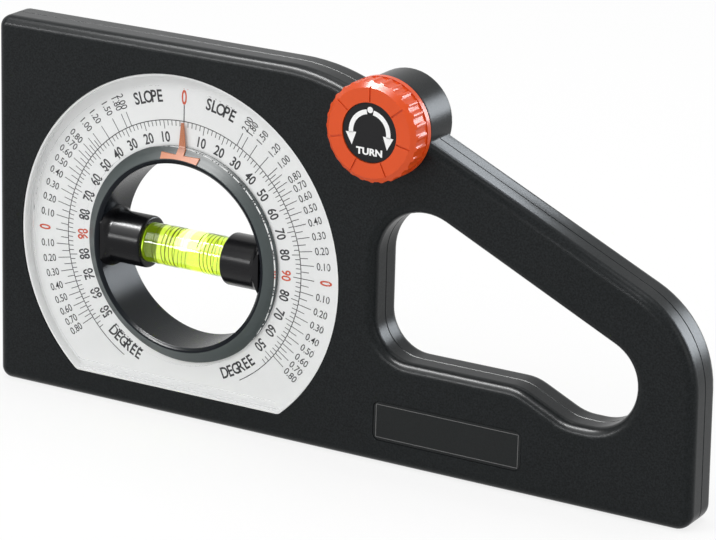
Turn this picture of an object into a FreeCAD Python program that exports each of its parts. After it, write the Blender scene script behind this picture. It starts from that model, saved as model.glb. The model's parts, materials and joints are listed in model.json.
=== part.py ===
import FreeCAD, Part
import math
import os
from types import SimpleNamespace

# Inclinometer: a flat two-shell case with a finger opening and a round scale window. A drum with a
# through bore turns in the window. It carries a bubble vial, a pointer and a ring gear, which an
# idler joins to the setting knob at the top of the case.
# Lengths are in millimetres and angles in degrees. X runs along the base, Y from the face with the
# scale towards the back, Z up. The origin is the middle of the base.

SIZES = {
    # case outline
    "left_wall": 7.3,
    "window_to_grip": 9.6,
    "grip_length": 69.4,
    "right_wall": 15.7,
    "case_above_dial": 53.4,
    "case_depth": 12.4,
    "slope_angle": 25.0,
    "flat_top": 40.4,
    "end_lean": 0.9,
    "knee_radius": 50.0,
    "shoulder_radius": 26.0,
    "corner_radius": 3.0,
    "toe_radius": 4.2,
    "edge_round": 2.5,
    "seam_chamfer": 0.2,
    # finger opening
    "grip_shelf": 26.55,
    "grip_floor": 20.4,
    "grip_slope_angle": 25.3,
    "grip_end_height": 18.4,
    "grip_end_flat": 0.1,
    "grip_pocket_length": 17.1,
    "grip_top_radius": 12.8,
    "grip_nose_radius": 10.5,
    "grip_step_radius": 12.0,
    "grip_heel_radius": 10.0,
    # window, scale plate and clear cover
    "window_sill": 6.5,
    "window_radius": 46.0,
    "window_chord": 35.1,
    "window_corner": 2.0,
    "window_depth": 4.3,
    "plate_thickness": 0.8,
    "plate_wall": 0.4,
    "cover_inset": 0.4,
    "cover_thickness": 1.2,
    "cover_skirt": 0.5,
    "cover_border": 2.4,
    "cover_step": 0.2,
    "cover_bevel": 0.5,
    "cover_hole_gap": 0.3,
    "part_gap": 0.15,
    # drum with its bezels and pointer
    "bore_radius": 23.4,
    "drum_wall": 1.4,
    "drum_neck": 0.9,
    "drum_front": 0.45,
    "drum_rear": 1.8,
    "drum_gap": 0.25,
    "bore_chamfer": 0.6,
    "bezel_height": 2.6,
    "bezel_rim": 0.25,
    "bezel_flare": 2.8,
    "bezel_foot": 0.3,
    "bezel_lip": 0.3,
    "pointer_gap": 0.3,
    "pointer_root": 2.2,
    "pointer_tip": 0.7,
    "pointer_thickness": 0.4,
    "pointer_bar": 10.4,
    "pointer_bar_width": 0.9,
    "pointer_margin": 0.1,
    # bubble vial
    "vial_radius": 5.0,
    "vial_wall": 0.8,
    "vial_seat": 4.3,
    "vial_end": 1.2,
    "holder_radius": 6.55,
    "holder_face": 11.7,
    "holder_round": 1.2,
    "holder_flare": 3.4,
    "flare_length": 3.6,
    "holder_margin": 1.0,
    "bubble_length": 8.2,
    "bubble_depth": 3.4,
    # gear train
    "idler_angle": 39.29,
    "pinion_angle": 30.27,
    "gear_module": 1.0,
    "ring_teeth": 72,
    "idler_teeth": 28,
    "pinion_teeth": 16,
    "pressure_angle": 20.0,
    "tooth_addendum": 0.9,
    "tooth_dedendum": 1.2,
    "tooth_backlash": 0.3,
    "straight_flank_teeth": 40,
    "gear_width": 3.0,
    "gear_gap": 0.3,
    "ring_web": 1.4,
    "ring_rim": 3.0,
    "gear_tip_gap": 0.9,
    "idler_pin_radius": 1.5,
    "idler_pin_seat": 2.8,
    "idler_bore_gap": 0.06,
    # setting knob
    "boss_radius": 11.6,
    "boss_round": 1.5,
    "knob_radius": 12.3,
    "knob_length": 7.5,
    "knob_lift": 0.3,
    "knob_bevel": 1.1,
    "knob_ribs": 28,
    "rib_width": 0.6,
    "rib_bevel": 0.4,
    "rib_depth": 0.35,
    "knob_flange": 1.5,
    "flange_groove": 0.4,
    "face_slots": 7,
    "slot_width": 0.4,
    "slot_depth": 0.3,
    "disc_radius": 7.15,
    "disc_thickness": 0.8,
    "disc_inset": 0.3,
    "washer_radius": 9.0,
    "washer_thickness": 0.25,
    "shaft_radius": 3.0,
    "shaft_gap": 0.05,
    "journal_radius": 2.0,
    "journal_length": 1.7,
    "shaft_reach": 4.3,
    # screws
    "screw_inset": 6.5,
    "screw_wall": 1.5,
    "screw_radius": 1.15,
    "screw_hole_gap": 0.15,
    "screw_length": 8.0,
    "screw_head_radius": 2.2,
    "screw_head_height": 1.4,
    "counterbore_radius": 2.55,
    "counterbore_depth": 2.2,
    "knob_screw_radius": 1.2,
    "knob_screw_length": 6.0,
    "knob_screw_head": 1.1,
    # bare label plate
    "label_indent": 1.0,
    "label_bottom": 6.1,
    "label_width": 39.8,
    "label_height": 9.7,
    "label_corner": 1.6,
    "label_thickness": 0.4,
    "label_recess": 0.5,
}

FACING_FRONT = FreeCAD.Rotation(FreeCAD.Vector(1, 0, 0), 90)
DIAL_X = "(Sizes.left_wall - Sizes.window_to_grip - Sizes.grip_length - Sizes.right_wall) / 2"
DIAL_HEIGHT = "Sizes.window_sill + Sizes.window_chord"

doc = FreeCAD.newDocument("inclinometer")


def fill_sheet():
    sheet = doc.addObject("Spreadsheet::Sheet", "Sizes")
    for row, (name, value) in enumerate(SIZES.items(), start=1):
        sheet.set("A%d" % row, name)
        sheet.set("B%d" % row, str(value))
        sheet.setAlias("B%d" % row, name)
    doc.recompute()
    return SimpleNamespace(**{name: sheet.get(name) for name in SIZES})


size = fill_sheet()

half_depth = size.case_depth / 2
dial_x = (size.left_wall - size.window_to_grip - size.grip_length - size.right_wall) / 2
dial_height = size.window_sill + size.window_chord
case_left = dial_x - size.window_radius - size.left_wall
case_right = -case_left
case_height = dial_height + size.case_above_dial
case_fall = math.tan(math.radians(size.slope_angle))
slope_start = dial_x + size.flat_top
grip_left = dial_x + size.window_radius + size.window_to_grip
grip_right = grip_left + size.grip_length
grip_fall = math.tan(math.radians(size.grip_slope_angle))
grip_nose = size.grip_floor + size.grip_end_height
grip_top = grip_nose + grip_fall * size.grip_length
drum_radius = size.bore_radius + size.drum_wall
neck_radius = size.bore_radius + size.drum_neck
window_floor = half_depth - size.window_depth
plate_top = window_floor + size.plate_thickness
cover_top = half_depth - size.cover_inset
bezel_radius = drum_radius + size.bezel_flare
cover_edge = 2 * size.part_gap + size.plate_wall
pointer_reach = size.window_chord - cover_edge - size.cover_skirt - size.pointer_gap
bezel_foot_level = plate_top + size.bezel_foot
drum_front_level = half_depth - size.drum_front
drum_rear_level = -half_depth - size.drum_rear
gear_cavity = size.gear_width + 2 * size.gear_gap
knob_foot = half_depth + size.knob_lift
knob_top = knob_foot + size.knob_length
disc_top = knob_top - size.disc_inset
disc_floor = disc_top - size.disc_thickness


# Geometry helpers

def corner(before, at, after, radius):
    """Start, middle and end of the arc that rounds one corner of an outline."""
    point = FreeCAD.Vector(at[0], at[1], 0)
    to_before = (FreeCAD.Vector(before[0], before[1], 0) - point).normalize()
    to_after = (FreeCAD.Vector(after[0], after[1], 0) - point).normalize()
    half_turn = to_before.getAngle(to_after) / 2
    setback = radius / math.tan(half_turn)
    inward = (to_before + to_after).normalize()
    centre = point + inward * (radius / math.sin(half_turn))
    start = point + to_before * setback
    end = point + to_after * setback
    return start, centre - inward * radius, end


def rounded_outline(points, radii):
    """Lines and tangent arcs round a closed outline, one radius for each corner."""
    corners = []
    for index, radius in enumerate(radii):
        before = points[index - 1]
        after = points[(index + 1) % len(points)]
        corners.append(corner(before, points[index], after, radius))
    edges = []
    for index, (start, middle, end) in enumerate(corners):
        edges.append(Part.Arc(start, middle, end))
        edges.append(Part.LineSegment(end, corners[(index + 1) % len(corners)][0]))
    return edges


def closed_lines(points):
    """Straight edges round a closed outline of (x, y) points."""
    vectors = [FreeCAD.Vector(x, y, 0) for x, y in points]
    return [Part.LineSegment(a, b) for a, b in zip(vectors, vectors[1:] + vectors[:1])]


def circle(radius, x=0.0, y=0.0):
    return [Part.Circle(FreeCAD.Vector(x, y, 0), FreeCAD.Vector(0, 0, 1), radius)]


def new_body(label):
    body = doc.addObject("PartDesign::Body", label)
    body.Label = label
    return body


def sketch(body, name, edges, level=None, role="XY_Plane"):
    """A sketch on one of the body's own origin planes, lifted to a level bound to the sheet."""
    item = body.newObject("Sketcher::SketchObject", name)
    plane = [feature for feature in body.Origin.OriginFeatures if feature.Role == role][0]
    item.AttachmentSupport = [(plane, "")]
    item.MapMode = "FlatFace"
    if level:
        item.setExpression("AttachmentOffset.Base.z", level)
    item.addGeometry(edges, False)
    return item


def pad(body, name, profile, length, downwards=False):
    item = body.newObject("PartDesign::Pad", name)
    item.Profile = profile
    item.setExpression("Length", length)
    item.Reversed = downwards
    doc.recompute()
    return item


def pocket(body, name, profile, depth, upwards=False):
    """Cut from the sketch down into the body, or up into it, and check that something was cut."""
    before = body.Shape.Volume
    item = body.newObject("PartDesign::Pocket", name)
    item.Profile = profile
    item.setExpression("Length", depth)
    item.Reversed = upwards
    doc.recompute()
    if not item.Shape.Volume < before:
        raise RuntimeError(name + " cut nothing")
    return item


def edges_at(shape, level):
    """Names of the edges that lie in the plane at one level."""
    names = []
    for index, edge in enumerate(shape.Edges, start=1):
        box = edge.BoundBox
        if abs(box.ZMin - level) < 1e-4 and abs(box.ZMax - level) < 1e-4:
            names.append("Edge%d" % index)
    return names


def dress(body, kind, name, base, edges, prop, value):
    """A fillet or chamfer on named edges of the feature before it."""
    item = body.newObject("PartDesign::" + kind, name)
    item.Base = (base, edges)
    item.setExpression(prop, value)
    doc.recompute()
    return item


def revolve(body, name, points):
    """Turn an outline of (radius, level) points about the body's own Z axis."""
    profile = sketch(body, name + "_profile", closed_lines(points), role="XZ_Plane")
    item = body.newObject("PartDesign::Revolution", name)
    item.Profile = profile
    item.ReferenceAxis = (profile, ["V_Axis"])
    item.Angle = 360
    doc.recompute()
    return item


def cylinder(name, radius, height, base):
    """A cylinder along Z whose radius, height and base level are bound to the sheet."""
    item = doc.addObject("Part::Cylinder", name)
    item.setExpression("Radius", radius)
    item.setExpression("Height", height)
    item.setExpression("Placement.Base.z", base)
    return item


def boolean(kind, name, base, tool):
    item = doc.addObject("Part::" + kind, name)
    item.Base = base
    item.Tool = tool
    return item


def fuse_all(name, shapes):
    item = doc.addObject("Part::MultiFuse", name)
    item.Shapes = shapes
    return item


def set_on_axis(item, x, height, turn=0.0):
    """Stand an object on a front-to-back axis at x and height, turned about that axis."""
    spin = FreeCAD.Rotation(FreeCAD.Vector(0, 0, 1), turn)
    item.Placement = FreeCAD.Placement(FreeCAD.Vector(0, 0, 0), FACING_FRONT * spin)
    item.setExpression("Placement.Base.x", x)
    item.setExpression("Placement.Base.z", height)
    return item


def on_dial(item, turn=0.0):
    return set_on_axis(item, DIAL_X, DIAL_HEIGHT, turn)


def on_train(item, x, height, turn=0.0):
    """Stand an object on an axis of the gear train."""
    spin = FreeCAD.Rotation(FreeCAD.Vector(0, 0, 1), turn)
    item.Placement = FreeCAD.Placement(FreeCAD.Vector(x, 0, height), FACING_FRONT * spin)
    return item


def on_knob(item, turn=0.0):
    return on_train(item, gears.knob_x, gears.knob_height, turn)


def on_idler(item, turn=0.0):
    return on_train(item, gears.x, gears.height, turn)


def in_case(item):
    item.Placement = FreeCAD.Placement(FreeCAD.Vector(0, 0, 0), FACING_FRONT)
    return item


# Outlines

def case_outline():
    """Side view of the case without the knob boss: flat top, sloping back, rounded shoulder."""
    shoulder_x = case_right - size.end_lean
    points = [
        (case_left, 0.0),
        (case_left, case_height),
        (slope_start, case_height),
        (shoulder_x, case_height - case_fall * (shoulder_x - slope_start)),
        (case_right, 0.0),
    ]
    radii = [
        size.corner_radius,
        size.corner_radius,
        size.knee_radius,
        size.shoulder_radius,
        size.toe_radius,
    ]
    return rounded_outline(points, radii)


def grip_outline():
    """Finger opening: a long triangle with a stepped lower edge."""
    step_end = grip_right - size.grip_pocket_length
    step_start = step_end - (size.grip_shelf - size.grip_floor) / grip_fall
    points = [
        (grip_left, grip_top),
        (grip_right, grip_nose),
        (grip_right, size.grip_floor),
        (step_end, size.grip_floor),
        (step_start, size.grip_shelf),
        (grip_left, size.grip_shelf),
    ]
    nose_half_turn = math.radians(90.0 + size.grip_slope_angle) / 2
    nose_setback = size.grip_nose_radius / math.tan(nose_half_turn)
    radii = [
        size.grip_top_radius,
        size.grip_nose_radius,
        size.grip_end_height - nose_setback - size.grip_end_flat,
        size.grip_step_radius,
        size.grip_step_radius,
        size.grip_heel_radius,
    ]
    return rounded_outline(points, radii)


def window_outline(inset, x=0.0, y=0.0):
    """Circle cut off by a chord below, with rounded corners, moved inwards by an inset."""
    radius = size.window_radius - inset
    chord = -(size.window_chord - inset)
    blend = size.window_corner
    blend_x = math.sqrt((radius - blend) ** 2 - (chord + blend) ** 2)
    reach = radius / (radius - blend)
    start = FreeCAD.Vector(x + blend_x * reach, y + (chord + blend) * reach, 0)
    end = FreeCAD.Vector(x - blend_x * reach, start.y, 0)
    top = FreeCAD.Vector(x, y + radius, 0)
    right_foot = FreeCAD.Vector(x + blend_x, y + chord, 0)
    left_foot = FreeCAD.Vector(x - blend_x, y + chord, 0)
    edges = [Part.Arc(start, top, end), Part.LineSegment(left_foot, right_foot)]
    for side, foot, tip in ((-1, left_foot, end), (1, right_foot, start)):
        centre = FreeCAD.Vector(x + side * blend_x, y + chord + blend, 0)
        outward = ((foot - centre).normalize() + (tip - centre).normalize()).normalize()
        edges.append(Part.Arc(foot, centre + outward * blend, tip))
    return edges


def label_outline(gap):
    """Rounded rectangle of the label plate, or of its recess with a gap all round."""
    left = grip_left + size.label_indent - gap
    right = left + size.label_width + 2 * gap
    bottom = size.label_bottom - gap
    top = size.label_bottom + size.label_height + gap
    points = [(left, bottom), (left, top), (right, top), (right, bottom)]
    return rounded_outline(points, [size.label_corner + gap] * 4)


def involute_point(base_radius, radius):
    """Polar angle of an involute at a radius, counted from where it leaves the base circle."""
    if radius <= base_radius:
        return 0.0
    roll = math.sqrt((radius / base_radius) ** 2 - 1)
    return roll - math.atan(roll)


def gear_outline(teeth):
    """Spur gear teeth with involute flanks, thinned by the backlash, the first tooth along +X.

    Each flank is drawn through three points of its involute, or two on a large gear, where it is
    almost straight.
    """
    pitch = size.gear_module * teeth / 2
    tip = pitch + size.tooth_addendum * size.gear_module
    root = pitch - size.tooth_dedendum * size.gear_module
    base = pitch * math.cos(math.radians(size.pressure_angle))
    half_tooth = (math.pi * size.gear_module / 2 - size.tooth_backlash) / 2 / pitch
    curved = teeth < size.straight_flank_teeth
    flank = []
    for radius in (root, pitch, tip) if curved else (root, tip):
        turn = involute_point(base, pitch) - involute_point(base, radius)
        flank.append((radius, half_tooth + turn))
    points = []
    for tooth in range(int(teeth)):
        middle = 2 * math.pi * tooth / teeth
        right = [(radius, middle - angle) for radius, angle in flank]
        left = [(radius, middle + angle) for radius, angle in reversed(flank)]
        points += right + left
    return closed_lines([(r * math.cos(a), r * math.sin(a)) for r, a in points])


def train():
    """Places of the idler and the knob, laid out from the dial, and the turns that mesh the teeth."""
    ring = size.gear_module * size.ring_teeth / 2
    idler = size.gear_module * size.idler_teeth / 2
    pinion = size.gear_module * size.pinion_teeth / 2
    to_idler = math.radians(size.idler_angle)
    to_knob = math.radians(size.pinion_angle)
    x = dial_x + (ring + idler) * math.cos(to_idler)
    height = dial_height + (ring + idler) * math.sin(to_idler)
    half_turn = 180.0
    idler_pitch = 360.0 / size.idler_teeth
    pinion_pitch = 360.0 / size.pinion_teeth
    idler_turn = size.idler_angle + half_turn + idler_pitch / 2
    lead = (idler_turn - size.pinion_angle) % idler_pitch
    pinion_turn = size.pinion_angle + half_turn + pinion_pitch / 2 - lead * idler / pinion
    return SimpleNamespace(
        x=x,
        height=height,
        knob_x=x + (idler + pinion) * math.cos(to_knob),
        knob_height=height + (idler + pinion) * math.sin(to_knob),
        ring_turn=size.idler_angle,
        idler_turn=idler_turn,
        pinion_turn=pinion_turn,
    )


gears = train()


def screw_places():
    """Where the case screws stand: near the corners, and in the walls round the openings."""
    left = case_left + size.screw_inset
    middle = (grip_left + grip_right) / 2
    outer = case_height - case_fall * (middle - slope_start)
    inner = grip_top - grip_fall * (middle - grip_left)
    return [
        (left, case_height - size.screw_inset),
        (left, size.screw_inset),
        window_and_idler_corner(),
        (dial_x + size.window_radius, size.screw_inset),
        (middle, (outer + inner) / 2),
        (case_right - size.screw_inset, size.screw_inset),
    ]


def window_and_idler_corner():
    """The spot above the dial that is clear of both the window and the room of the idler."""
    reach = size.counterbore_radius + size.screw_wall
    from_dial = size.window_radius + reach
    tip = size.gear_module * (size.idler_teeth / 2 + size.tooth_addendum)
    from_idler = tip + size.gear_tip_gap + reach
    across = gears.x - dial_x
    up = gears.height - dial_height
    span = math.hypot(across, up)
    along = (from_dial ** 2 - from_idler ** 2 + span ** 2) / (2 * span)
    aside = math.sqrt(from_dial ** 2 - along ** 2)
    x = dial_x + (along * across - aside * up) / span
    return x, dial_height + (along * up + aside * across) / span


SCREW_PLACES = screw_places()


# Case

def knob_boss(body, downwards):
    """Half of the round boss behind the knob, rounded on its outer edge and flush at the seam."""
    side = -1 if downwards else 1
    radius = size.boss_radius
    bend = size.boss_round
    arc_middle = bend * (1 - math.sqrt(0.5))
    points = [
        FreeCAD.Vector(0, 0, 0),
        FreeCAD.Vector(radius, 0, 0),
        FreeCAD.Vector(radius, side * (half_depth - bend), 0),
        FreeCAD.Vector(radius - arc_middle, side * (half_depth - arc_middle), 0),
        FreeCAD.Vector(radius - bend, side * half_depth, 0),
        FreeCAD.Vector(0, side * half_depth, 0),
    ]
    edges = [Part.LineSegment(a, b) for a, b in zip(points[:2], points[1:3])]
    edges.append(Part.Arc(points[2], points[3], points[4]))
    edges.append(Part.LineSegment(points[4], points[5]))
    edges.append(Part.LineSegment(points[5], points[0]))
    profile = sketch(body, "boss_profile", edges, role="XZ_Plane")
    profile.AttachmentOffset.Base = FreeCAD.Vector(gears.knob_x, 0, -gears.knob_height)
    item = body.newObject("PartDesign::Revolution", "knob_boss")
    item.Profile = profile
    item.ReferenceAxis = (profile, ["V_Axis"])
    item.Angle = 360
    doc.recompute()
    return item


def case_block(body, downwards):
    """One half of the case, rounded on its outer face and chamfered at the seam."""
    outline = sketch(body, "side_view", case_outline() + grip_outline())
    block = pad(body, "shell", outline, "Sizes.case_depth / 2", downwards)
    face = -half_depth if downwards else half_depth
    outer = edges_at(block.Shape, face)
    block = dress(body, "Fillet", "outer_round", block, outer, "Radius", "Sizes.edge_round")
    inner = edges_at(block.Shape, 0.0)
    dress(body, "Chamfer", "seam", block, inner, "Size", "Sizes.seam_chamfer")
    return knob_boss(body, downwards)


def front_case():
    body = new_body("front_case")
    case_block(body, downwards=False)
    window = window_outline(0.0, dial_x, dial_height)
    face = "Sizes.case_depth / 2"
    window_sketch = sketch(body, "window_view", window, face)
    pocket(body, "window", window_sketch, "Sizes.window_depth")
    throat = circle(drum_radius + size.drum_gap, dial_x, dial_height)
    pocket(body, "drum_throat", sketch(body, "throat_circle", throat, face), "Sizes.case_depth")
    shaft_hole = circle(size.shaft_radius + size.shaft_gap, gears.knob_x, gears.knob_height)
    pocket(body, "shaft_hole", sketch(body, "shaft_circle", shaft_hole, face), "Sizes.case_depth")
    label = sketch(body, "label_view", label_outline(size.part_gap), face)
    pocket(body, "label_recess", label, "Sizes.label_recess")
    pin = sketch(body, "pin_circle", circle(size.idler_pin_radius, gears.x, gears.height))
    pocket(body, "pin_seat", pin, "Sizes.idler_pin_seat", upwards=True)
    holes = []
    for x, height in SCREW_PLACES:
        holes += circle(size.screw_radius, x, height)
    reach = "Sizes.screw_length - (Sizes.case_depth / 2 - Sizes.counterbore_depth)"
    pocket(body, "screw_seats", sketch(body, "screw_circles", holes), reach, upwards=True)
    return in_case(body)


def rear_case():
    body = new_body("rear_case")
    case_block(body, downwards=True)
    rings = [
        (dial_x, dial_height, size.ring_teeth),
        (gears.x, gears.height, size.idler_teeth),
        (gears.knob_x, gears.knob_height, size.pinion_teeth),
    ]
    for index, (x, height, teeth) in enumerate(rings, start=1):
        tip = size.gear_module * (teeth / 2 + size.tooth_addendum)
        room = sketch(body, "gear_circle_%d" % index, circle(tip + size.gear_tip_gap, x, height))
        pocket(body, "gear_room_%d" % index, room, "Sizes.gear_width + 2 * Sizes.gear_gap")
    throat = circle(drum_radius + size.drum_gap, dial_x, dial_height)
    pocket(body, "drum_throat", sketch(body, "throat_circle", throat), "Sizes.case_depth")
    journal = circle(size.journal_radius + size.shaft_gap, gears.knob_x, gears.knob_height)
    journal_depth = "Sizes.gear_width + 2 * Sizes.gear_gap + Sizes.journal_length"
    pocket(body, "journal_seat", sketch(body, "journal_circle", journal), journal_depth)
    pin = sketch(body, "pin_circle", circle(size.idler_pin_radius, gears.x, gears.height))
    pin_depth = "Sizes.gear_width + 2 * Sizes.gear_gap + Sizes.journal_length"
    pocket(body, "pin_seat", pin, pin_depth)
    holes = []
    heads = []
    for x, height in SCREW_PLACES:
        holes += circle(size.screw_radius + size.screw_hole_gap, x, height)
        heads += circle(size.counterbore_radius, x, height)
    pocket(body, "screw_holes", sketch(body, "screw_circles", holes), "Sizes.case_depth")
    counterbores = sketch(body, "head_circles", heads, "-Sizes.case_depth / 2")
    pocket(body, "counterbores", counterbores, "Sizes.counterbore_depth", upwards=True)
    return in_case(body)


def dial_plate():
    """White tray on the floor of the window: a plate for the two scales inside a thin wall."""
    body = new_body("dial_plate")
    level = "Sizes.case_depth / 2 - Sizes.window_depth"
    outline = window_outline(size.part_gap) + circle(drum_radius + size.drum_gap)
    pad(body, "plate", sketch(body, "plate_view", outline, level), "Sizes.plate_thickness")
    edge = window_outline(size.part_gap) + window_outline(size.part_gap + size.plate_wall)
    wall_height = "Sizes.window_depth - Sizes.cover_inset"
    pad(body, "wall", sketch(body, "wall_view", edge, level), wall_height)
    return on_dial(body)


def dial_cover():
    """Clear cover: a pane raised inside its border, on a thin skirt that stands on the plate."""
    body = new_body("dial_cover")
    foot = "Sizes.case_depth / 2 - Sizes.window_depth + Sizes.plate_thickness"
    height = "Sizes.window_depth - Sizes.plate_thickness - Sizes.cover_inset"
    outline = sketch(body, "cover_view", window_outline(cover_edge), foot)
    block = pad(body, "block", outline, height + " - Sizes.cover_step")
    rim = edges_at(block.Shape, cover_top - size.cover_step)
    dress(body, "Chamfer", "bevel", block, rim, "Size", "Sizes.cover_bevel")
    pane = sketch(body, "pane_view", window_outline(cover_edge + size.cover_border), foot)
    pad(body, "pane", pane, height)
    inside = sketch(body, "inside_view", window_outline(cover_edge + size.cover_skirt), foot)
    pocket(body, "inside", inside, height + " - Sizes.cover_thickness", upwards=True)
    hole = sketch(body, "hole_circle", circle(bezel_radius + size.cover_hole_gap), foot)
    pocket(body, "drum_hole", hole, "Sizes.case_depth", upwards=True)
    return on_dial(body)


def label_plate():
    """Bare plate in the recess below the finger opening."""
    body = new_body("label_plate")
    floor = "Sizes.case_depth / 2 - Sizes.label_recess"
    pad(body, "plate", sketch(body, "plate_view", label_outline(0.0), floor), "Sizes.label_thickness")
    return in_case(body)


def case_screws():
    """Screws that hold the two shells together, their heads in the rear counterbores."""
    solids = []
    for index, (x, height) in enumerate(SCREW_PLACES, start=1):
        seat = "-Sizes.case_depth / 2 + Sizes.counterbore_depth"
        shank = cylinder("shank_%d" % index, "Sizes.screw_radius", "Sizes.screw_length", seat)
        head_base = seat + " - Sizes.screw_head_height"
        head = cylinder("head_%d" % index, "Sizes.screw_head_radius", "Sizes.screw_head_height",
                        head_base)
        for item in (shank, head):
            item.Placement.Base.x = x
            item.Placement.Base.y = height
        solids += [shank, head]
    return in_case(fuse_all("case_screws", solids))


# Drum

def drum():
    """Open tube that turns in both shells, stepped down in front for the bezel."""
    body = new_body("drum")
    chamfer = size.bore_chamfer
    points = [
        (size.bore_radius, drum_rear_level),
        (drum_radius, drum_rear_level),
        (drum_radius, bezel_foot_level),
        (neck_radius + size.part_gap, bezel_foot_level),
        (neck_radius + size.part_gap, drum_front_level),
        (size.bore_radius + chamfer, drum_front_level),
        (size.bore_radius, drum_front_level - chamfer),
    ]
    revolve(body, "tube", points)
    return on_dial(body)


def bezel_points(foot, rim, inner):
    """Section of a conical ring from its wide foot to its narrow rim."""
    narrow = inner + size.bezel_rim
    lip = foot + math.copysign(size.bezel_lip, rim - foot)
    return [(inner, foot), (bezel_radius, foot), (bezel_radius, lip), (narrow, rim), (inner, rim)]


def front_bezel():
    """Conical ring on the neck of the drum, inside the hole of the clear cover."""
    body = new_body("front_bezel")
    rim = bezel_foot_level + size.bezel_height
    revolve(body, "cone", bezel_points(bezel_foot_level, rim, neck_radius + size.part_gap))
    return on_dial(body)


def rear_bezel():
    """Conical ring behind the rear shell that keeps the drum in its bearing."""
    body = new_body("rear_bezel")
    foot = -half_depth - size.bezel_foot
    revolve(body, "cone", bezel_points(foot, drum_rear_level, drum_radius))
    return on_dial(body)


def gear(label, teeth, bore):
    body = new_body(label)
    outline = gear_outline(teeth) + circle(bore)
    level = "-Sizes.gear_gap - Sizes.gear_width"
    pad(body, "teeth", sketch(body, "teeth_view", outline, level), "Sizes.gear_width")
    return body


def ring_gear():
    """Large gear on the drum: a toothed rim on a thinner web."""
    body = gear("ring_gear", size.ring_teeth, drum_radius)
    root = size.gear_module * (size.ring_teeth / 2 - size.tooth_dedendum)
    rim_inside = root - size.ring_rim
    hub_outside = drum_radius + size.ring_rim
    recess = circle(rim_inside) + circle(hub_outside)
    profile = sketch(body, "web_view", recess, "-Sizes.gear_gap")
    pocket(body, "web", profile, "Sizes.gear_width - Sizes.ring_web")
    return on_dial(body, gears.ring_turn)


def pointer():
    """T-shaped pointer: a bar bent over the cone of the bezel and a needle above the scale."""
    body = new_body("pointer")
    narrow = neck_radius + size.part_gap + size.bezel_rim
    rim = bezel_foot_level + size.bezel_height
    lip = bezel_foot_level + size.bezel_lip
    slope = (rim - lip) / (bezel_radius - narrow)
    inner = narrow + size.pointer_margin
    inner_level = rim - slope * size.pointer_margin
    skin = size.pointer_thickness
    points = [
        (inner, inner_level),
        (bezel_radius, lip),
        (pointer_reach, lip),
        (pointer_reach, lip + skin),
        (bezel_radius + skin / 2, lip + skin),
        (inner, inner_level + skin),
    ]
    blank = revolve(body, "blank", points)
    blank.Angle = math.degrees(size.pointer_bar / inner)
    blank.Midplane = True
    doc.recompute()
    shoulder = inner + size.pointer_bar_width
    beyond = pointer_reach + size.pointer_bar
    for side in (-1, 1):
        cut = closed_lines([
            (shoulder, side * size.pointer_root / 2),
            (pointer_reach, side * size.pointer_tip / 2),
            (beyond, side * size.pointer_tip / 2),
            (beyond, side * size.pointer_bar),
            (shoulder, side * size.pointer_bar),
        ])
        name = "left_trim" if side > 0 else "right_trim"
        trim = sketch(body, name + "_view", cut)
        pocket(body, name, trim, "Sizes.case_depth", upwards=True)
    return on_dial(body, 90.0)


# Bubble vial

def across_drum(item, turn=90.0):
    """Lay an object along X through the middle of the drum, its own Z axis pointing sideways."""
    level = -(drum_front_level + drum_rear_level) / 2
    spin = FreeCAD.Rotation(FreeCAD.Vector(0, 1, 0), turn)
    item.Placement = FreeCAD.Placement(FreeCAD.Vector(0, level, 0), spin)
    item.setExpression("Placement.Base.x", DIAL_X)
    item.setExpression("Placement.Base.z", DIAL_HEIGHT)
    return item


def vial_holder(label, turn):
    """Socket that stands in from the wall of the bore, flared where it meets the wall."""
    body = doc.addObject("PartDesign::Body", label + "_post")
    seat = size.holder_face + size.vial_seat
    points = [
        (0.0, seat),
        (size.vial_radius, seat),
        (size.vial_radius, size.holder_face),
        (size.holder_radius, size.holder_face),
        (size.holder_radius, size.bore_radius - size.flare_length),
        (size.holder_radius + size.holder_flare, size.bore_radius),
        (size.holder_radius + size.holder_flare, size.bore_radius + size.drum_wall),
        (0.0, size.bore_radius + size.drum_wall),
    ]
    post = revolve(body, "post", points)
    rim = []
    for name in edges_at(post.Shape, size.holder_face):
        edge = post.Shape.getElement(name)
        if abs(edge.Curve.Radius - size.holder_radius) < 1e-4:
            rim.append(name)
    dress(body, "Fillet", "rim", post, rim, "Radius", "Sizes.holder_round")
    depth = drum_front_level - drum_rear_level - 2 * size.holder_margin
    bore = doc.addObject("Part::Cylinder", label + "_bore")
    bore.setExpression("Radius", "Sizes.bore_radius")
    bore.Height = depth
    bore.Placement = FreeCAD.Placement(FreeCAD.Vector(0, depth / 2, 0), FACING_FRONT)
    holder = boolean("Common", label, body, bore)
    return across_drum(holder, turn)


def vial_tube():
    """Clear tube, closed at one end and open at the other for its plug."""
    body = new_body("vial_tube")
    end = size.holder_face + size.vial_seat
    inner = size.vial_radius - size.vial_wall
    points = [
        (0.0, -end),
        (size.vial_radius, -end),
        (size.vial_radius, end),
        (inner, end),
        (inner, size.vial_end - end),
        (0.0, size.vial_end - end),
    ]
    revolve(body, "wall", points)
    return across_drum(body)


def vial_bore(name, length, base):
    return cylinder(name, "Sizes.vial_radius - Sizes.vial_wall", length, base)


def vial_plug():
    """Round plug that closes the open end of the tube."""
    body = new_body("vial_plug")
    base = "Sizes.holder_face + Sizes.vial_seat - 2 * Sizes.vial_end"
    disc = sketch(body, "plug_circle", circle(size.vial_radius - size.vial_wall), base)
    pad(body, "plug", disc, "2 * Sizes.vial_end")
    return across_drum(body)


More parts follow.
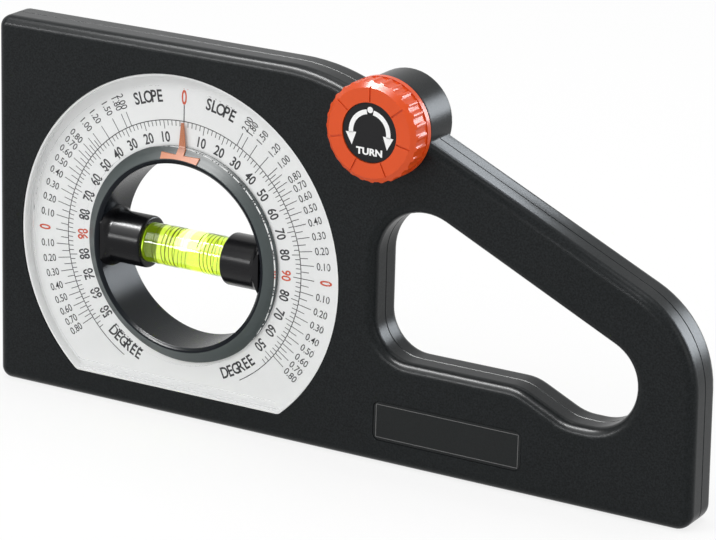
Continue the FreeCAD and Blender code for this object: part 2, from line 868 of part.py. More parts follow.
def bubble_form(name):
    """Long round bubble whose axis lies along the top of the vial's bore."""
    body = doc.addObject("PartDesign::Body", name)
    end = FreeCAD.Vector(0, size.bubble_length / 2, 0)
    side = FreeCAD.Vector(size.bubble_depth, 0, 0)
    ellipse = Part.Ellipse(end, side, FreeCAD.Vector(0, 0, 0))
    edges = [Part.ArcOfEllipse(ellipse, math.pi, 2 * math.pi), Part.LineSegment(end, -end)]
    profile = sketch(body, name + "_profile", edges, role="XZ_Plane")
    item = body.newObject("PartDesign::Revolution", name + "_turned")
    item.Profile = profile
    item.ReferenceAxis = (profile, ["V_Axis"])
    item.Angle = 360
    body.setExpression("Placement.Base.x", "-(Sizes.vial_radius - Sizes.vial_wall)")
    doc.recompute()
    return body


def vial_contents():
    """The fluid with its bubble-shaped hollow, and the bubble that fills it."""
    length = "2 * (Sizes.holder_face + Sizes.vial_seat) - 3 * Sizes.vial_end"
    base = "Sizes.vial_end - Sizes.holder_face - Sizes.vial_seat"
    full = vial_bore("fluid_bore", length, base)
    fluid = boolean("Cut", "vial_fluid", full, bubble_form("bubble_hollow"))
    space = vial_bore("bubble_bore", length, base)
    bubble = boolean("Common", "vial_bubble", space, bubble_form("bubble_body"))
    return [across_drum(fluid), across_drum(bubble)]


# Setting knob

def knob_outline():
    """Fine ribs with bevelled sides round the knob."""
    points = []
    step = 2 * math.pi / size.knob_ribs
    crest = size.rib_width / size.knob_radius
    bevel = size.rib_bevel / size.knob_radius
    low = size.knob_radius - size.rib_depth
    for rib in range(int(size.knob_ribs)):
        start = rib * step
        points.append((size.knob_radius, start))
        points.append((size.knob_radius, start + crest))
        points.append((low, start + crest + bevel))
        points.append((low, start + step - bevel))
    return closed_lines([(r * math.cos(a), r * math.sin(a)) for r, a in points])


def groove(body, name, points):
    """Turn a (radius, level) outline about the body's Z axis and cut it away."""
    before = body.Shape.Volume
    profile = sketch(body, name + "_profile", closed_lines(points), role="XZ_Plane")
    item = body.newObject("PartDesign::Groove", name)
    item.Profile = profile
    item.ReferenceAxis = (profile, ["V_Axis"])
    item.Angle = 360
    doc.recompute()
    if not item.Shape.Volume < before:
        raise RuntimeError(name + " cut nothing")
    return item


def knob():
    """Ribbed knob on a plain flange, with a bevelled face, sector slots and a seat for its disc."""
    body = new_body("knob")
    foot = "Sizes.case_depth / 2 + Sizes.knob_lift"
    whole = sketch(body, "core_view", circle(size.knob_radius - size.rib_depth), foot)
    pad(body, "core", whole, "Sizes.knob_length")
    flange = sketch(body, "flange_view", circle(size.knob_radius), foot)
    pad(body, "flange", flange, "Sizes.knob_flange")
    ribs_foot = foot + " + Sizes.knob_flange + Sizes.flange_groove"
    ribs_length = "Sizes.knob_length - Sizes.knob_flange - Sizes.flange_groove"
    pad(body, "ribs", sketch(body, "ribs_view", knob_outline(), ribs_foot), ribs_length)
    beyond = size.knob_radius + size.knob_bevel
    bevel = [
        (size.knob_radius - size.rib_depth - size.knob_bevel, knob_top),
        (beyond, knob_top - beyond + size.knob_radius - size.rib_depth - size.knob_bevel),
        (beyond, knob_top + size.knob_bevel),
        (size.knob_radius - size.rib_depth - size.knob_bevel, knob_top + size.knob_bevel),
    ]
    groove(body, "bevel", bevel)
    top = foot + " + Sizes.knob_length"
    slots = []
    inner = size.disc_radius + 2 * size.part_gap
    outer = size.knob_radius + size.knob_bevel
    for number in range(int(size.face_slots)):
        angle = math.pi / 2 + 2 * math.pi * number / size.face_slots
        slots += slot_outline(angle, inner, outer, size.slot_width)
    pocket(body, "face_slots", sketch(body, "slots_view", slots, top), "Sizes.slot_depth")
    seat = sketch(body, "disc_circle", circle(size.disc_radius + size.part_gap), top)
    pocket(body, "disc_seat", seat, "Sizes.disc_inset + Sizes.disc_thickness")
    head = sketch(body, "head_circle", circle(size.screw_head_radius + size.part_gap), top)
    head_depth = "Sizes.disc_inset + Sizes.disc_thickness + Sizes.part_gap + Sizes.knob_screw_head"
    pocket(body, "head_seat", head, head_depth)
    screw_hole = circle(size.knob_screw_radius + size.part_gap)
    pocket(body, "screw_hole", sketch(body, "screw_circle", screw_hole, top), "Sizes.knob_length")
    bore = sketch(body, "bore_circle", circle(size.shaft_radius), foot)
    pocket(body, "shaft_bore", bore, "Sizes.shaft_reach - Sizes.knob_lift", upwards=True)
    return on_knob(body)


def slot_outline(angle, inner, outer, width):
    """A straight slot that points outwards at one angle."""
    along = (math.cos(angle), math.sin(angle))
    aside = (-along[1] * width / 2, along[0] * width / 2)
    points = []
    for radius, side in ((inner, -1), (outer, -1), (outer, 1), (inner, 1)):
        points.append((along[0] * radius + aside[0] * side, along[1] * radius + aside[1] * side))
    return closed_lines(points)


def knob_disc():
    body = new_body("knob_disc")
    floor = "Sizes.case_depth / 2 + Sizes.knob_lift + Sizes.knob_length - Sizes.disc_inset"
    level = floor + " - Sizes.disc_thickness"
    disc = sketch(body, "disc_view", circle(size.disc_radius), level)
    pad(body, "disc", disc, "Sizes.disc_thickness")
    return on_knob(body)


def knob_shaft():
    """Stepped shaft: knob seat in front, gear seat inside, journal in the rear shell."""
    body = new_body("knob_shaft")
    shoulder = -gear_cavity + size.gear_gap / 2
    end = shoulder - size.journal_length
    tip = half_depth + size.shaft_reach
    screw_end = tip - size.knob_screw_length
    points = [
        (0.0, end),
        (size.journal_radius, end),
        (size.journal_radius, shoulder),
        (size.shaft_radius, shoulder),
        (size.shaft_radius, tip),
        (size.knob_screw_radius, tip),
        (size.knob_screw_radius, screw_end),
        (0.0, screw_end),
    ]
    revolve(body, "shaft", points)
    return on_knob(body)


def knob_screw():
    """Screw under the disc that holds the knob on its shaft."""
    body = new_body("knob_screw")
    seat = disc_floor - size.part_gap - size.knob_screw_head
    end = half_depth + size.shaft_reach - size.knob_screw_length
    points = [
        (0.0, end),
        (size.knob_screw_radius, end),
        (size.knob_screw_radius, seat),
        (size.screw_head_radius, seat),
        (size.screw_head_radius, seat + size.knob_screw_head),
        (0.0, seat + size.knob_screw_head),
    ]
    revolve(body, "screw", points)
    return on_knob(body)


def friction_washer():
    """Thin washer on the shaft that gives the knob its drag."""
    body = new_body("friction_washer")
    rings = circle(size.washer_radius) + circle(size.shaft_radius + 2 * size.part_gap)
    face = sketch(body, "washer_view", rings, "Sizes.case_depth / 2")
    pad(body, "washer", face, "Sizes.washer_thickness")
    return on_knob(body)


def knob_pinion():
    return on_knob(gear("knob_pinion", size.pinion_teeth, size.shaft_radius), gears.pinion_turn)


# Idler

def idler_gear():
    bore = size.idler_pin_radius + size.idler_bore_gap
    return on_idler(gear("idler_gear", size.idler_teeth, bore), gears.idler_turn)


def idler_pin():
    """Steel pin held in both shells, which the idler turns on."""
    body = new_body("idler_pin")
    below = "Sizes.gear_width + 2 * Sizes.gear_gap + Sizes.journal_length"
    end = sketch(body, "pin_circle", circle(size.idler_pin_radius), "-(" + below + ")")
    pad(body, "pin", end, "Sizes.idler_pin_seat + " + below)
    return on_idler(body)


def check_document():
    """Stop if any object failed to build."""
    doc.recompute()
    for item in doc.Objects:
        if "Invalid" in item.State or "Error" in item.State:
            raise RuntimeError(item.Name + " did not build")


def write_parts(parts):
    os.makedirs("parts", exist_ok=True)
    for part in parts:
        shape = part.Shape
        if shape.isNull() or not shape.isValid() or not shape.Solids:
            raise RuntimeError(part.Label + " has no valid solid")
    for part in parts:
        part.Shape.exportStep(os.path.join("parts", part.Label + ".step"))
        print(part.Label, len(part.Shape.Solids), round(part.Shape.Volume, 1))


parts = [
    front_case(),
    rear_case(),
    dial_plate(),
    dial_cover(),
    label_plate(),
    case_screws(),
    friction_washer(),
    idler_pin(),
    drum(),
    front_bezel(),
    rear_bezel(),
    ring_gear(),
    pointer(),
    vial_holder("left_vial_holder", -90.0),
    vial_holder("right_vial_holder", 90.0),
    vial_tube(),
    vial_plug(),
    *vial_contents(),
    idler_gear(),
    knob(),
    knob_disc(),
    knob_shaft(),
    knob_screw(),
    knob_pinion(),
]
check_document()
write_parts(parts)
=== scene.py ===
import json
import math
from collections import namedtuple

import bmesh
import bpy
from mathutils import Matrix, Vector

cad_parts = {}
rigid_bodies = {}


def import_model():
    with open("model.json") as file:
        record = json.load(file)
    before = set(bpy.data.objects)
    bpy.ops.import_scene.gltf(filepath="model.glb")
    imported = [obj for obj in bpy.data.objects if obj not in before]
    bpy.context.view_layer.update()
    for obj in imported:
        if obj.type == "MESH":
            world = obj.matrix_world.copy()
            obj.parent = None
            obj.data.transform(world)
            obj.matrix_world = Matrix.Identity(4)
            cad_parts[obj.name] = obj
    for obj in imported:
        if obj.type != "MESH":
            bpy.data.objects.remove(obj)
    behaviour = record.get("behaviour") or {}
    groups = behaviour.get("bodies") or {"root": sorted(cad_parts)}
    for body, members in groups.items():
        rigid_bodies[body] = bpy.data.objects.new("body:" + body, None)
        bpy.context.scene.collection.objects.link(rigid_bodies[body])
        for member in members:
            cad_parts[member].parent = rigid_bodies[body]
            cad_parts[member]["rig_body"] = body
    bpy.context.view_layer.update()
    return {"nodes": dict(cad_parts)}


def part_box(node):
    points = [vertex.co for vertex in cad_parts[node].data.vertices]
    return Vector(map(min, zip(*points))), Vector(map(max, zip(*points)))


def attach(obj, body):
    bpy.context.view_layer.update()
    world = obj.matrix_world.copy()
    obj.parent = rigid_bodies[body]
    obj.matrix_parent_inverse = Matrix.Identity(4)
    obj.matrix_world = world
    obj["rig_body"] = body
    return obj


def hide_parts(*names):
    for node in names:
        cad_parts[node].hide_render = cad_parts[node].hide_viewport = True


# Inclinometer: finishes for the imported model, and what is printed, drawn or filled on it.
# Lengths are in metres, and in millimetres where MM or a comment says so.
# X runs along the base, Y from the scale side to the back, Z up.

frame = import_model()

MM = 0.001
WELD = 0.001 * MM
INK = 0.03 * MM
RING_STEPS = 96
WHITE = (1.0, 1.0, 1.0)

cover_low, cover_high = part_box("dial_cover")
drum_low, drum_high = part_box("drum")
disc_low, disc_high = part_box("knob_disc")
label_low, label_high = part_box("label_plate")
tube_low, tube_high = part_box("vial_tube")
screw_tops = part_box("case_screws")[1].y
fluid_low, fluid_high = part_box("vial_fluid")
bubble_low, bubble_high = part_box("vial_bubble")

DIAL = (drum_low + drum_high) / 2
KNOB = (disc_low + disc_high) / 2
VIAL = (tube_low + tube_high) / 2

# Prints lie on the plate behind the cover, and on the front of the knob's disc
SCALE_CENTRE = Vector((DIAL.x, cover_high.y - INK / 2, DIAL.z))
DISC_CENTRE = Vector((KNOB.x, disc_low.y - INK / 2, KNOB.z))


# Small helpers

def rotation(degrees, axis):
    return Matrix.Rotation(math.radians(degrees), 4, axis)


def above(height):
    return Matrix.Translation((0.0, 0.0, height))


def turned(centre, degrees):
    """Place for something drawn upright at the origin: at a centre, turned clockwise as seen in front."""
    return Matrix.Translation(centre) @ rotation(degrees, "Y")


def edges_of(parts):
    return [part for part in parts if isinstance(part, bmesh.types.BMEdge)]


def vertices_of(parts):
    return [part for part in parts if isinstance(part, bmesh.types.BMVert)]


def everything(bm):
    return bm.verts[:] + bm.edges[:] + bm.faces[:]


def ring_of_edges(bm, corners):
    """Edges that join corners to each other in a ring."""
    return [bm.edges.new((corners[i - 1], corners[i])) for i in range(len(corners))]


def cut_away(bm, point, outward):
    """Cut off what lies beyond a plane, and give back the edges of the cut."""
    cut = bmesh.ops.bisect_plane(bm, geom=everything(bm), plane_co=point, plane_no=outward,
                                 clear_outer=True)
    return edges_of(cut["geom_cut"])


def round_edges(bm, edges, offset, segments):
    bmesh.ops.bevel(bm, geom=edges, offset=offset, affect="EDGES", segments=segments, profile=0.5,
                    material=-1)


def piece(bm, name, body, material, turn_out=True):
    """Make a finished object from a bmesh and let it ride on a body."""
    if turn_out:
        bmesh.ops.recalc_face_normals(bm, faces=bm.faces)
    mesh = bpy.data.meshes.new(name)
    bm.to_mesh(mesh)
    bm.free()
    mesh.materials.append(material)
    item = bpy.data.objects.new(name, mesh)
    bpy.context.scene.collection.objects.link(item)
    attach(item, body)
    return item


def smooth(item, degrees=35.0):
    """Round shading, with edges sharper than an angle kept."""
    item.data.shade_smooth()
    item.data.set_sharp_from_angle(angle=math.radians(degrees))


def bar(bm, place, width, height):
    """A flat upright bar of ink, centred on its place."""
    size = Matrix.Diagonal((width, INK, height, 1.0))
    bmesh.ops.create_cube(bm, size=1.0, matrix=place @ size)


def arc_band(bm, centre, radius, width, first, last):
    """A flat band of ink round a centre, from one clockwise angle from the top to another."""
    start = turned(centre, first)
    corners = []
    for out, deep in ((-1, -1), (1, -1), (1, 1), (-1, 1)):
        spot = Vector((0.0, deep * INK / 2, radius + out * width / 2))
        corners.append(bm.verts.new(start @ spot))
    edges = ring_of_edges(bm, corners)
    turn = math.radians(last - first)
    steps = max(8, int(RING_STEPS * abs(turn) / math.tau))
    spun = bmesh.ops.spin(bm, geom=corners + edges, cent=centre, axis=(0, 1, 0),
                          angle=turn, steps=steps, use_merge=False)
    for loop in (edges, edges_of(spun["geom_last"])):
        bmesh.ops.holes_fill(bm, edges=loop, sides=4)


def letters(bm, words, place, height, stretch, weight):
    """Upright flat letters centred on a place, as high as asked and narrowed by a share."""
    curve = bpy.data.curves.new("letters", "FONT")
    curve.body = words
    curve.resolution_u = 3
    curve.extrude = 0.5
    curve.offset = weight
    holder = bpy.data.objects.new("letters", curve)
    bpy.context.scene.collection.objects.link(holder)
    graph = bpy.context.evaluated_depsgraph_get()
    mesh = bpy.data.meshes.new_from_object(holder.evaluated_get(graph))
    bpy.data.objects.remove(holder)
    xs = [vertex.co.x for vertex in mesh.vertices]
    ys = [vertex.co.y for vertex in mesh.vertices]
    middle = Vector(((min(xs) + max(xs)) / 2, (min(ys) + max(ys)) / 2, 0.0))
    scale = height / (max(ys) - min(ys))
    size = Matrix.Diagonal((scale * stretch, scale, INK, 1.0))
    mesh.transform(place @ rotation(90.0, "X") @ size @ Matrix.Translation(-middle))
    bm.from_mesh(mesh)
    bpy.data.meshes.remove(mesh)


# Shader helpers

# Places of the two colours and of the result among the sockets of a Mix node
FIRST_COLOUR = 6
SECOND_COLOUR = 7
MIXED_COLOUR = 2


def feed(tree, value, socket):
    """Link another node's output to a socket, or set the socket to a plain value."""
    if isinstance(value, bpy.types.NodeSocket):
        tree.links.new(value, socket)
    else:
        socket.default_value = value


def math_node(tree, operation, *values):
    """The result of a math node on plain values and other nodes' outputs."""
    node = tree.nodes.new("ShaderNodeMath")
    node.operation = operation
    for value, socket in zip(values, node.inputs):
        feed(tree, value, socket)
    return node.outputs[0]


def blended(tree, share, first, second):
    """A colour that goes from a first to a second one by a share."""
    blend = tree.nodes.new("ShaderNodeMix")
    blend.data_type = "RGBA"
    feed(tree, share, blend.inputs["Factor"])
    feed(tree, first, blend.inputs[FIRST_COLOUR])
    feed(tree, second, blend.inputs[SECOND_COLOUR])
    return blend.outputs[MIXED_COLOUR]


def noise(tree, size, detail, roughness):
    """Noise over the object, with spots about as large as a size."""
    place = tree.nodes.new("ShaderNodeTexCoord")
    cloud = tree.nodes.new("ShaderNodeTexNoise")
    cloud.inputs["Detail"].default_value = detail
    cloud.inputs["Roughness"].default_value = roughness
    tree.links.new(place.outputs["Object"], cloud.inputs["Vector"])
    tree.links.new(math_node(tree, "DIVIDE", 1.0, size), cloud.inputs["Scale"])
    return cloud.outputs["Fac"]


def mixed_surface(tree, share, first, second):
    """Show a first shader, and a second one by a share."""
    mix = tree.nodes.new("ShaderNodeMixShader")
    tree.links.new(share, mix.inputs["Fac"])
    tree.links.new(first, mix.inputs[1])
    tree.links.new(second, mix.inputs[2])
    tree.links.new(mix.outputs["Shader"], tree.nodes["Material Output"].inputs["Surface"])


# Shader groups

def new_group(name, inputs, outputs):
    """An empty shader group with named sockets, given as (name, kind, value)."""
    group = bpy.data.node_groups.new(name, "ShaderNodeTree")
    for label, kind, value in inputs:
        socket = group.interface.new_socket(label, in_out="INPUT", socket_type=kind)
        socket.default_value = value
    for label, kind in outputs:
        group.interface.new_socket(label, in_out="OUTPUT", socket_type=kind)
    start = group.nodes.new("NodeGroupInput")
    end = group.nodes.new("NodeGroupOutput")
    return group, start, end


def build_grain_group():
    """Fine moulded grain as a bumped normal, and its height, by which painted glints lighten the colour.
    """
    group, start, end = new_group(
        "moulded_grain",
        [("Size", "NodeSocketFloat", 0.0005), ("Depth", "NodeSocketFloat", 0.3)],
        [("Normal", "NodeSocketVector"), ("Height", "NodeSocketFloat")],
    )
    grain = noise(group, start.outputs["Size"], detail=3.0, roughness=0.6)
    bump = group.nodes.new("ShaderNodeBump")
    bump.inputs["Distance"].default_value = 0.02 * MM
    spread = group.nodes.new("ShaderNodeMapRange")
    spread.inputs["From Min"].default_value = 0.35
    spread.inputs["From Max"].default_value = 0.68
    group.links.new(grain, bump.inputs["Height"])
    group.links.new(grain, spread.inputs["Value"])
    group.links.new(start.outputs["Depth"], bump.inputs["Strength"])
    group.links.new(bump.outputs["Normal"], end.inputs["Normal"])
    group.links.new(spread.outputs["Result"], end.inputs["Height"])
    return group


def build_tone_group():
    """Slow change of colour and gloss over a surface, as handling and moulding leave it."""
    group, start, end = new_group(
        "slow_tone",
        [
            ("Colour", "NodeSocketColor", (0.5, 0.5, 0.5, 1.0)),
            ("Second colour", "NodeSocketColor", (0.5, 0.5, 0.5, 1.0)),
            ("Size", "NodeSocketFloat", 0.02),
            ("Roughness", "NodeSocketFloat", 0.4),
            ("Roughness change", "NodeSocketFloat", 0.1),
        ],
        [("Colour", "NodeSocketColor"), ("Roughness", "NodeSocketFloat")],
    )
    cloud = noise(group, start.outputs["Size"], detail=4.0, roughness=0.5)
    colour = blended(group, cloud, start.outputs["Colour"], start.outputs["Second colour"])
    gloss = math_node(group, "MULTIPLY_ADD", cloud, start.outputs["Roughness change"],
                      start.outputs["Roughness"])
    group.links.new(colour, end.inputs["Colour"])
    group.links.new(gloss, end.inputs["Roughness"])
    return group


GRAIN = build_grain_group()
TONE = build_tone_group()


# Materials

def blank_material(name):
    """A material with one Principled shader, and its tree."""
    material = bpy.data.materials.new(name)
    material.use_nodes = True
    tree = material.node_tree
    return material, tree, tree.nodes["Principled BSDF"]


def shader_of(material):
    return material.node_tree.nodes["Principled BSDF"]


def group_node(tree, group, **values):
    """Place a shared group in a material with its own values."""
    node = tree.nodes.new("ShaderNodeGroup")
    node.node_tree = group
    for label, value in values.items():
        node.inputs[label.replace("_", " ")].default_value = value
    return node


def plastic(name, colour, second, roughness, change=0.08, grain_size=0.4, grain_depth=0.25,
            specular=0.5):
    """Moulded plastic with grain, and slow changes of tone. The grain's size is in millimetres."""
    material, tree, shader = blank_material(name)
    tone = group_node(tree, TONE, Colour=(*colour, 1.0), Second_colour=(*second, 1.0),
                      Size=25.0 * MM, Roughness=roughness, Roughness_change=change)
    grain = group_node(tree, GRAIN, Size=grain_size * MM, Depth=grain_depth)
    tree.links.new(tone.outputs["Colour"], shader.inputs["Base Color"])
    tree.links.new(tone.outputs["Roughness"], shader.inputs["Roughness"])
    tree.links.new(grain.outputs["Normal"], shader.inputs["Normal"])
    shader.inputs["Specular IOR Level"].default_value = specular
    return material


def speckle(material, colour, share):
    """Painted highlight: lift the colour of a plastic where its grain stands high, as a glint where light
    catches each grain.
    """
    tree = material.node_tree
    shader = shader_of(material)
    below = shader.inputs["Base Color"].links[0].from_socket
    grain = shader.inputs["Normal"].links[0].from_node
    amount = math_node(tree, "MULTIPLY", grain.outputs["Height"], share)
    lifted = blended(tree, amount, below, (*colour, 1.0))
    tree.links.new(lifted, shader.inputs["Base Color"])
    return material


def turned_lines(material, centre, spacing, strength):
    """Fine lines across a front-to-back axis, as a turned mould leaves. Spacing is in millimetres."""
    waves_at_scale_one = 3.2
    tree = material.node_tree
    place = tree.nodes.new("ShaderNodeTexCoord")
    shift = tree.nodes.new("ShaderNodeMapping")
    shift.inputs["Location"].default_value = -centre
    lines = tree.nodes.new("ShaderNodeTexWave")
    lines.wave_type = "BANDS"
    lines.bands_direction = "Y"
    lines.inputs["Scale"].default_value = 1.0 / (spacing * MM) / waves_at_scale_one
    lines.inputs["Distortion"].default_value = 0.6
    bump = tree.nodes.new("ShaderNodeBump")
    bump.inputs["Strength"].default_value = strength
    bump.inputs["Distance"].default_value = 0.03 * MM
    tree.links.new(place.outputs["Object"], shift.inputs["Vector"])
    tree.links.new(shift.outputs["Vector"], lines.inputs["Vector"])
    tree.links.new(lines.outputs["Fac"], bump.inputs["Height"])
    tree.links.new(bump.outputs["Normal"], shader_of(material).inputs["Normal"])
    return material


def glow(material, colour, strength):
    """Painted light: a little glow of its own, so that a part looks more brightly lit than the lamps make
    it.
    """
    shader = shader_of(material)
    shader.inputs["Emission Color"].default_value = (*colour, 1.0)
    shader.inputs["Emission Strength"].default_value = strength
    return material


def clear(name, colour, ior):
    """Clear plastic or fluid, polished and a little wavy, that lets lamps shine through."""
    material, tree, shader = blank_material(name)
    shader.inputs["Base Color"].default_value = (*colour, 1.0)
    shader.inputs["Transmission Weight"].default_value = 1.0
    shader.inputs["IOR"].default_value = ior
    shader.inputs["Roughness"].default_value = 0.0
    waves = group_node(tree, GRAIN, Size=7 * MM, Depth=0.04)
    tree.links.new(waves.outputs["Normal"], shader.inputs["Normal"])
    path = tree.nodes.new("ShaderNodeLightPath")
    passing = tree.nodes.new("ShaderNodeBsdfTransparent")
    passing.inputs["Color"].default_value = (*colour, 1.0)
    mixed_surface(tree, path.outputs["Is Shadow Ray"], shader.outputs["BSDF"],
                  passing.outputs["BSDF"])
    return material


def metal(name, colour, roughness):
    """Bright steel with a fine uneven polish."""
    darker = tuple(part * 0.85 for part in colour)
    material = plastic(name, colour, darker, roughness, grain_size=0.15, grain_depth=0.15)
    shader_of(material).inputs["Metallic"].default_value = 1.0
    return material


# The case's black carries painted glints on its grain.
CASE_BLACK = speckle(
    plastic("case_black", (0.0015, 0.0026, 0.0030), (0.0028, 0.0042, 0.0047), roughness=0.27,
            change=0.05, grain_size=0.45, grain_depth=0.5, specular=0.14),
    (0.024, 0.028, 0.030), share=0.4)
SCALE_WHITE = plastic("scale_white", (0.90, 0.905, 0.90), (0.87, 0.875, 0.875), roughness=0.5,
                      grain_size=0.2, grain_depth=0.05, specular=0.1)
# The label's black carries painted glints on its grain.
LABEL_BLACK = speckle(
    plastic("label_black", (0.006, 0.0075, 0.0078), (0.008, 0.0095, 0.0098), roughness=0.4,
            grain_size=0.25, grain_depth=0.2, specular=0.13),
    (0.020, 0.022, 0.022), share=0.3)
LABEL_LINE = plastic("label_line", (0.10, 0.10, 0.10), (0.13, 0.13, 0.13), roughness=0.5,
                     specular=0.3)
DRUM_BLACK = turned_lines(
    plastic("drum_black", (0.006, 0.008, 0.011), (0.009, 0.011, 0.015), roughness=0.2,
            grain_depth=0.1, specular=0.10),
    DIAL, spacing=0.6, strength=0.3)
HOLDER_BLACK = plastic("holder_black", (0.004, 0.004, 0.005), (0.007, 0.007, 0.008),
                       roughness=0.18, grain_depth=0.05, specular=0.16)
BEZEL_GREY = turned_lines(
    plastic("bezel_grey", (0.050, 0.064, 0.064), (0.062, 0.077, 0.077), roughness=0.36,
            grain_depth=0.15, specular=0.35),
    DIAL, spacing=0.8, strength=0.1)
POINTER_ORANGE = plastic("pointer_orange", (0.56, 0.20, 0.10), (0.66, 0.22, 0.09), roughness=0.4,
                         specular=0.35)
KNOB_ORANGE = plastic("knob_orange", (0.62, 0.060, 0.008), (0.70, 0.085, 0.012), roughness=0.22,
                      grain_size=0.3, grain_depth=0.2, specular=0.25)
# The disc's black carries painted glints on its grain.
DISC_BLACK = speckle(
    plastic("disc_black", (0.006, 0.006, 0.007), (0.009, 0.009, 0.010), roughness=0.35,
            grain_depth=0.1, specular=0.13),
    (0.013, 0.013, 0.014), share=0.3)
DISC_WHITE = plastic("disc_white", (0.85, 0.85, 0.84), (0.80, 0.80, 0.80), roughness=0.4)
INK_BLACK = plastic("ink_black", (0.035, 0.035, 0.039), (0.055, 0.055, 0.058), roughness=0.5,
                    specular=0.3)
INK_RED = plastic("ink_red", (0.60, 0.085, 0.045), (0.68, 0.12, 0.06), roughness=0.5,
                  specular=0.3)
# Green of the vial's printed lines, and also of the painted shade at the bubble's ends.
LINE_GREEN_AND_SHADE = plastic("line_green_and_shade", (0.09, 0.12, 0.01), (0.13, 0.16, 0.02), roughness=0.6,
                     specular=0.1)
GEAR_WHITE = plastic("gear_white", (0.74, 0.74, 0.70), (0.68, 0.68, 0.65), roughness=0.42)
FELT = plastic("washer_felt", (0.03, 0.03, 0.032), (0.05, 0.05, 0.05), roughness=0.9,
               grain_size=0.3, grain_depth=1.0)
STEEL = metal("screw_steel", (0.55, 0.55, 0.56), roughness=0.25)
COVER_CLEAR = clear("cover_clear", (0.985, 0.99, 0.99), ior=1.16)
VIAL_CLEAR = clear("vial_clear", (0.97, 1.0, 0.74), ior=1.45)
# The fluid's green is its dye, and its glow is painted light.
FLUID_GREEN_AND_GLOW = glow(clear("fluid_green_and_glow", (0.80, 0.94, 0.17), ior=1.36), (0.55, 0.80, 0.03), 0.10)
# The bubble's pale glow is painted light.
BUBBLE_PAINTED_GLOW = glow(clear("bubble_painted_glow", (1.0, 1.0, 0.92), ior=1.05), (0.9, 1.0, 0.75), 0.85)


# Printed scales: radii, heights and widths in millimetres, angles clockwise from the top

Lettering = namedtuple("Lettering", "radius height stretch weight")

FINE = 0.004
STRONG = 0.018
DEGREE_NUMBER = Lettering(radius=29.7, height=2.7, stretch=0.78, weight=STRONG)
DEGREE_WORD = Lettering(radius=30.9, height=2.9, stretch=0.78, weight=STRONG)
SLOPE_NUMBER = Lettering(radius=40.3, height=1.9, stretch=0.85, weight=FINE)
SLOPE_WORD = Lettering(radius=39.9, height=3.1, stretch=0.78, weight=STRONG)
SIDE_ZERO = Lettering(radius=40.9, height=3.4, stretch=0.62, weight=STRONG)
TOP_ZERO = Lettering(radius=39.95, height=3.8, stretch=0.6, weight=STRONG)
SLOPE_WORD_ANGLE = 15.2
DEGREE_WORD_ANGLE = 180.0 - 32.3
LETTER_PITCH = 1.75

SCALE_LINE = 33.9
SCALE_LINE_WIDTH = 0.2
SCALE_LINE_END = 150.0
TICK_WIDTH = 0.17
ZERO_TICK_WIDTH = 0.26
ZERO_TICK_END = 38.0
TEN_DEGREE_TICK_END = 31.7
TWO_DEGREE_TICK_END = 32.5
LAST_DEGREE_TICK = 134
LAST_DEGREE_NUMBER = 130
TENTH_TICK_END = 37.6
HALF_TICK_END = 36.1
SLOPE_STEP = 0.05
STEEP_SLOPES = (1.2, 1.5, 1.8, 2.0)
LARGEST_FALL = 0.8
SLOPES_WITHOUT_NUMBER = (0.0, 0.9)


def tick(bm, angle, inner, outer, width=TICK_WIDTH):
    """A radial line of the scale between two radii."""
    place = turned(SCALE_CENTRE, angle) @ above((inner + outer) / 2 * MM)
    bar(bm, place, width * MM, (outer - inner) * MM)


def radial_letters(bm, words, angle, style, lean=0.0):
    """Words at an angle of the dial, their feet to the middle unless they lean."""
    place = turned(SCALE_CENTRE, angle) @ above(style.radius * MM) @ rotation(lean, "Y")
    letters(bm, words, place, style.height * MM, style.stretch, style.weight)


def arched_word(bm, word, angle, style, inward=False):
    """A word whose letters follow an arc, one by one, with their tops out or to the middle."""
    way = -1 if inward else 1
    lean = 180.0 if inward else 0.0
    for place, letter in enumerate(word):
        aside = (place - (len(word) - 1) / 2) * LETTER_PITCH
        shift = math.degrees(aside / style.radius)
        radial_letters(bm, letter, angle + way * shift, style, lean)


def slope_angles():
    """Each slope mark as (value, angle), above and below the zero at each side."""
    marks = []
    for step in range(0, 21):
        value = step * SLOPE_STEP
        for side in (-1, 1):
            for upward in (-1, 1):
                if value <= LARGEST_FALL or upward > 0:
                    rise = math.degrees(math.atan(value))
                    marks.append((value, side * (90.0 - upward * rise)))
    for value in STEEP_SLOPES:
        for side in (-1, 1):
            marks.append((value, side * (90.0 - math.degrees(math.atan(value)))))
    return marks


def degree_scale(bm, red):
    """Scale line, its inner marks every two degrees and the numbers below them."""
    arc_band(bm, SCALE_CENTRE, SCALE_LINE * MM, SCALE_LINE_WIDTH * MM, -SCALE_LINE_END,
             SCALE_LINE_END)
    for angle in range(-LAST_DEGREE_TICK, LAST_DEGREE_TICK + 1, 2):
        inner = TEN_DEGREE_TICK_END if angle % 10 == 0 else TWO_DEGREE_TICK_END
        tick(bm, angle, inner, SCALE_LINE)
    for angle in range(10, LAST_DEGREE_NUMBER + 1, 10):
        shown = angle if angle <= 90 else 180 - angle
        for side in (-1, 1):
            ink = red if shown == 90 else bm
            radial_letters(ink, str(shown), side * angle, DEGREE_NUMBER)


def slope_scale(bm, red):
    """Outer marks and numbers of the slope as rise over run, written along each radius."""
    for value, angle in slope_angles():
        tenth = abs(value * 10 - round(value * 10)) < 1e-6
        tick(bm, angle, SCALE_LINE, TENTH_TICK_END if tenth else HALF_TICK_END)
        if tenth and value not in SLOPES_WITHOUT_NUMBER:
            lean = 90.0 if angle < 0 else -90.0
            radial_letters(bm, "%.2f" % value, angle, SLOPE_NUMBER, lean)
    for side in (-90.0, 90.0):
        radial_letters(red, "0", side, SIDE_ZERO)


